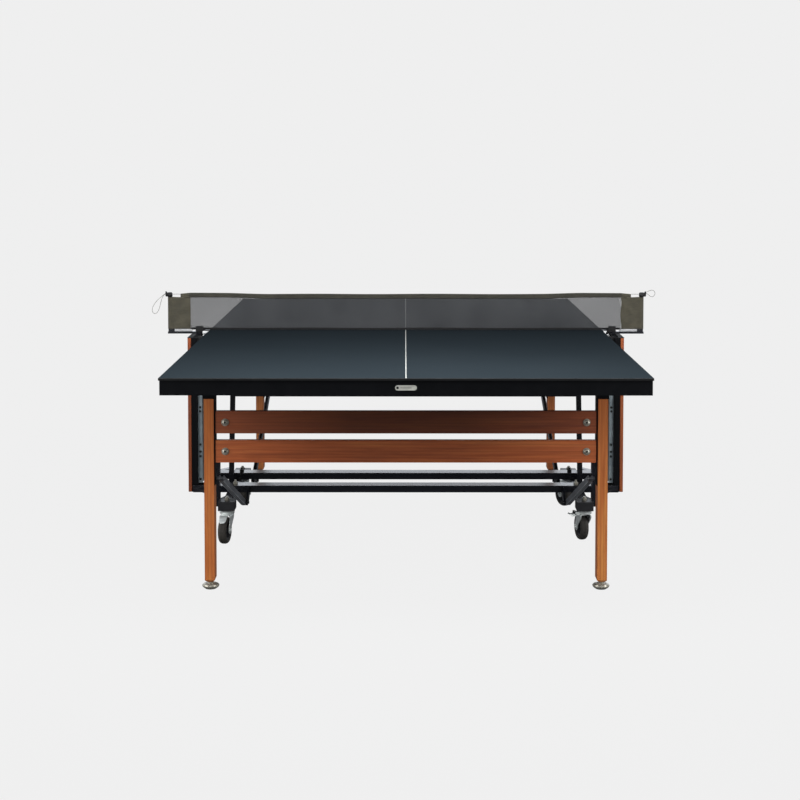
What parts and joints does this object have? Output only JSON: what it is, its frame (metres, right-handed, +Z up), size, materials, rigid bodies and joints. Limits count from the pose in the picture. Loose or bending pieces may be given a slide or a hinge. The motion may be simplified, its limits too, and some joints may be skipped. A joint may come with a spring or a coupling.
{
  "type": "ping pong table",
  "caption": "Folding table-tennis table with a dark laminate top, wooden leg frames, a wheeled black steel chassis, wood-clad side panels and a canvas-ended net.",
  "frame": {"origin": "on the floor, under the centre of the table", "axes": "+X across the table, to the right seen from the near end; +Y along the table, away from the near end (the nameplate's end); +Z up"},
  "size_m": [1.9524, 2.74, 0.9169],
  "materials": {
    "laminate": "semi-matt high-pressure laminate, slate blue-grey",
    "apron_black": "black powder coat",
    "chassis_black": "black powder coat, satin",
    "iroko": "oiled hardwood, warm red-brown",
    "zinc": "zinc-plated steel",
    "steel": "brushed stainless steel",
    "link_grey": "dark grey coat",
    "tyre_rubber": "black rubber",
    "black_plastic": "moulded black plastic",
    "mesh": "dark woven net",
    "canvas": "olive canvas",
    "cord": "pale braided cord",
    "badge_metal": "plain brushed badge"
  },
  "bodies": {
    "chassis": {"base_rails": "chassis_black", "caster_blocks": "chassis_black", "cross_tubes": "chassis_black", "side_frame_left": "chassis_black", "side_frame_right": "chassis_black", "side_planks_left": "iroko", "side_planks_right": "iroko", "guide_rails": "zinc", "link_brackets": "chassis_black", "chassis_posts": "chassis_black", "centre_uprights": "chassis_black", "centre_bar": "chassis_black", "chassis_bolts": "steel", "net_arms": "chassis_black", "net_posts": "chassis_black", "net_knobs": "black_plastic", "net_clamps": "chassis_black", "net_mesh": "mesh", "net_canvas": "canvas", "net_binding": "canvas", "net_tape": "mesh", "net_cord_left": "cord", "net_cord_right": "cord"},
    "near_carriage": {"carriage_near": "link_grey"},
    "near_half": {"top_near": "laminate", "apron_near": "apron_black", "ribs_near": "apron_black", "hinge_brackets_near": "apron_black", "nameplate": "badge_metal"},
    "near_legs": {"legs_near": "iroko", "leg_brackets_near": "apron_black", "slats_near": "iroko", "slat_bolts_near": "steel"},
    "near_links": {"links_near": "link_grey"},
    "near_left_foot": {"foot_near_left": "steel"},
    "near_left_caster": {"caster_fork_near_left": "zinc"},
    "near_left_wheel": {"caster_wheel_near_left": "tyre_rubber"},
    "near_right_foot": {"foot_near_right": "steel"},
    "near_right_caster": {"caster_fork_near_right": "zinc"},
    "near_right_wheel": {"caster_wheel_near_right": "tyre_rubber"},
    "near_right_pedal": {"brake_pedal_near_right": "zinc"},
    "far_carriage": {"carriage_far": "link_grey"},
    "far_half": {"top_far": "laminate", "apron_far": "apron_black", "ribs_far": "apron_black", "hinge_brackets_far": "apron_black"},
    "far_legs": {"legs_far": "iroko", "leg_brackets_far": "apron_black", "slats_far": "iroko", "slat_bolts_far": "steel"},
    "far_links": {"links_far": "link_grey"},
    "far_left_foot": {"foot_far_left": "steel"},
    "far_left_caster": {"caster_fork_far_left": "zinc"},
    "far_left_wheel": {"caster_wheel_far_left": "tyre_rubber"},
    "far_left_pedal": {"brake_pedal_far_left": "zinc"},
    "far_right_foot": {"foot_far_right": "steel"},
    "far_right_caster": {"caster_fork_far_right": "zinc"},
    "far_right_wheel": {"caster_wheel_far_right": "tyre_rubber"},
    "net_screw_left": {"net_screw_left": "black_plastic"},
    "net_screw_right": {"net_screw_right": "black_plastic"}
  },
  "joints": [
    {"name": "near_drop", "type": "slide", "parent": "chassis", "child": "near_carriage", "axis": [0, 0, -1], "range_m": [0, 0.3631]},
    {"name": "near_fold", "type": "hinge", "parent": "near_carriage", "child": "near_half", "pos_m": [0, -0.126, 0.738], "axis": [-1, 0, 0], "range_deg": [0, 90]},
    {"name": "near_leg_fold", "type": "hinge", "parent": "near_half", "child": "near_legs", "pos_m": [0, -0.97, 0.672], "axis": [1, 0, 0], "range_deg": [0, 90.01]},
    {"name": "near_link_swing", "type": "hinge", "parent": "chassis", "child": "near_links", "pos_m": [0, -0.21, 0.128], "axis": [-1, 0, 0], "range_deg": [0, 74.3]},
    {"name": "near_left_foot_level", "type": "slide", "parent": "near_legs", "child": "near_left_foot", "axis": [0, 0, -1], "range_m": [0, 0.012]},
    {"name": "near_left_swivel", "type": "hinge", "parent": "chassis", "child": "near_left_caster", "pos_m": [-0.666, -0.3, 0.118], "axis": [0, 0, 1], "continuous": true},
    {"name": "near_left_wheel_spin", "type": "hinge", "parent": "near_left_caster", "child": "near_left_wheel", "pos_m": [-0.67148, -0.33457, 0.05], "axis": [0.9877, -0.1564, 0], "continuous": true},
    {"name": "near_right_foot_level", "type": "slide", "parent": "near_legs", "child": "near_right_foot", "axis": [0, 0, -1], "range_m": [0, 0.012]},
    {"name": "near_right_swivel", "type": "hinge", "parent": "chassis", "child": "near_right_caster", "pos_m": [0.666, -0.3, 0.118], "axis": [0, 0, 1], "continuous": true},
    {"name": "near_right_wheel_spin", "type": "hinge", "parent": "near_right_caster", "child": "near_right_wheel", "pos_m": [0.65932, -0.26564, 0.05], "axis": [-0.9816, -0.1908, 0], "continuous": true},
    {"name": "near_right_pedal_press", "type": "hinge", "parent": "near_right_caster", "child": "near_right_pedal", "pos_m": [0.63262, -0.30649, 0.111], "axis": [0.1908, -0.9816, 0], "range_deg": [0, 15]},
    {"name": "far_drop", "type": "slide", "parent": "chassis", "child": "far_carriage", "axis": [0, 0, -1], "range_m": [0, 0.3631]},
    {"name": "far_fold", "type": "hinge", "parent": "far_carriage", "child": "far_half", "pos_m": [0, 0.126, 0.738], "axis": [1, 0, 0], "range_deg": [0, 90]},
    {"name": "far_leg_fold", "type": "hinge", "parent": "far_half", "child": "far_legs", "pos_m": [0, 0.97, 0.672], "axis": [-1, 0, 0], "range_deg": [0, 90.01]},
    {"name": "far_link_swing", "type": "hinge", "parent": "chassis", "child": "far_links", "pos_m": [0, 0.21, 0.128], "axis": [1, 0, 0], "range_deg": [0, 74.3]},
    {"name": "far_left_foot_level", "type": "slide", "parent": "far_legs", "child": "far_left_foot", "axis": [0, 0, -1], "range_m": [0, 0.012]},
    {"name": "far_left_swivel", "type": "hinge", "parent": "chassis", "child": "far_left_caster", "pos_m": [-0.666, 0.3, 0.118], "axis": [0, 0, 1], "continuous": true},
    {"name": "far_left_wheel_spin", "type": "hinge", "parent": "far_left_caster", "child": "far_left_wheel", "pos_m": [-0.66295, 0.33487, 0.05], "axis": [-0.9962, 0.0872, 0], "continuous": true},
    {"name": "far_left_pedal_press", "type": "hinge", "parent": "far_left_caster", "child": "far_left_pedal", "pos_m": [-0.69987, 0.30296, 0.111], "axis": [-0.0872, -0.9962, 0], "range_deg": [0, 15]},
    {"name": "far_right_foot_level", "type": "slide", "parent": "far_legs", "child": "far_right_foot", "axis": [0, 0, -1], "range_m": [0, 0.012]},
    {"name": "far_right_swivel", "type": "hinge", "parent": "chassis", "child": "far_right_caster", "pos_m": [0.666, 0.3, 0.118], "axis": [0, 0, 1], "continuous": true},
    {"name": "far_right_wheel_spin", "type": "hinge", "parent": "far_right_caster", "child": "far_right_wheel", "pos_m": [0.65066, 0.33146, 0.05], "axis": [-0.8988, -0.4384, 0], "continuous": true},
    {"name": "net_screw_left_turn", "type": "hinge", "parent": "chassis", "child": "net_screw_left", "pos_m": [-0.785, 0, 0.735], "axis": [0, 0, 1], "continuous": true},
    {"name": "net_screw_right_turn", "type": "hinge", "parent": "chassis", "child": "net_screw_right", "pos_m": [0.785, 0, 0.735], "axis": [0, 0, 1], "continuous": true}
  ],
  "couplings": [
    {"joint": "near_drop", "follows": "near_fold", "m_per_rad": 0.23111},
    {"joint": "near_leg_fold", "follows": "near_fold", "ratio": 1},
    {"joint": "near_link_swing", "follows": "near_fold", "ratio": 0.82548},
    {"joint": "far_drop", "follows": "far_fold", "m_per_rad": 0.23111},
    {"joint": "far_leg_fold", "follows": "far_fold", "ratio": 1},
    {"joint": "far_link_swing", "follows": "far_fold", "ratio": 0.82548}
  ]
}
